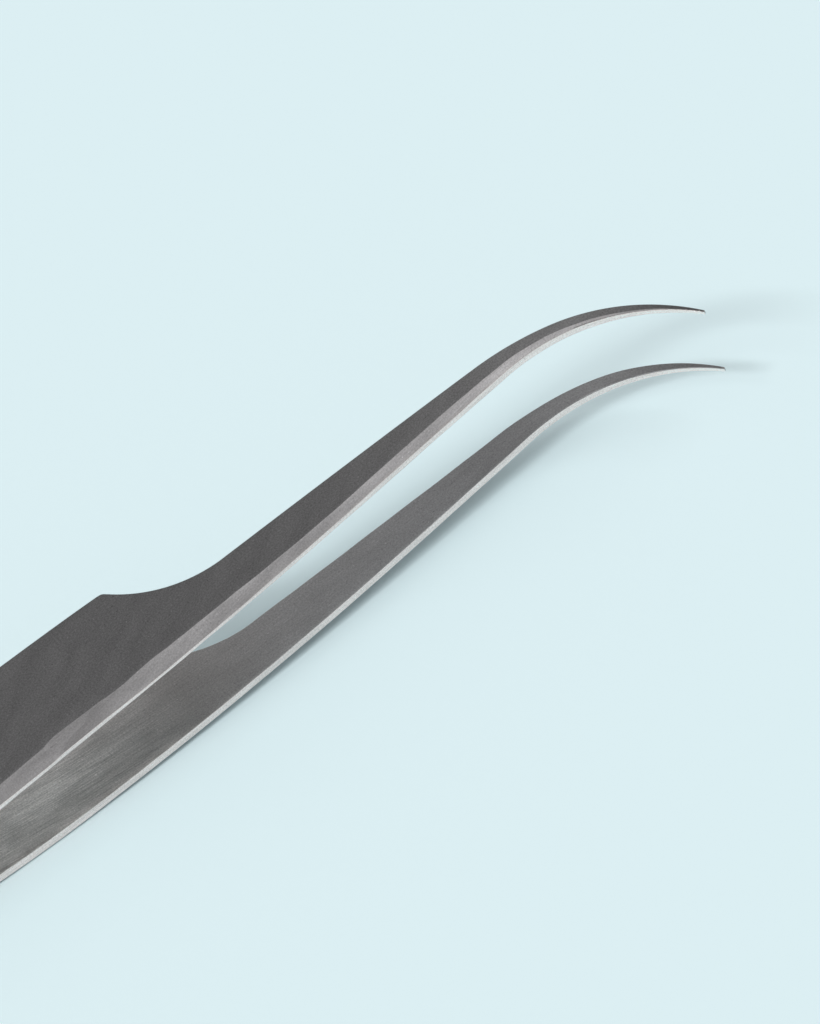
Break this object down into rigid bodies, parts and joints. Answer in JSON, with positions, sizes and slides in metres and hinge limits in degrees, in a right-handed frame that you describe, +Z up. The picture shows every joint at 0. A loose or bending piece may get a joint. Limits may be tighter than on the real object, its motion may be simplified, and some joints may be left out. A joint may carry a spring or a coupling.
{
  "type": "precision tweezers",
  "caption": "Sprung steel precision tweezers with fine curved tips, a one-sided shoulder, bevelled arms and a welded heel spacer.",
  "frame": {"origin": "middle of the bounding box in plan, on the plane the tweezers lie on", "axes": "+X from the heel to the tips, the tips curve towards -Y, +Z up from the bench, with the arms one above the other"},
  "size_m": [0.1202, 0.0134, 0.0146],
  "materials": {
    "arm_steel": "satin",
    "spacer_steel": "satin"
  },
  "bodies": {
    "heel": {"upper_arm_root": "arm_steel", "lower_arm_root": "arm_steel", "heel_spacer": "spacer_steel"},
    "upper_arm": {"upper_arm_blade": "arm_steel"},
    "lower_arm": {"lower_arm_blade": "arm_steel"}
  },
  "joints": [
    {"name": "upper_arm_flex", "type": "hinge", "parent": "heel", "child": "upper_arm", "pos_m": [-0.03117, 0.00158, 0.00574], "axis": [0, 1, 0], "range_deg": [0, 2.69], "stiffness_Nm_per_rad": 1},
    {"name": "lower_arm_flex", "type": "hinge", "parent": "heel", "child": "lower_arm", "pos_m": [-0.03093, 0.00158, 0.00199], "axis": [0, -1, 0], "range_deg": [0, 2.69], "stiffness_Nm_per_rad": 1}
  ],
  "couplings": [
    {"joint": "lower_arm_flex", "follows": "upper_arm_flex", "ratio": 1}
  ]
}
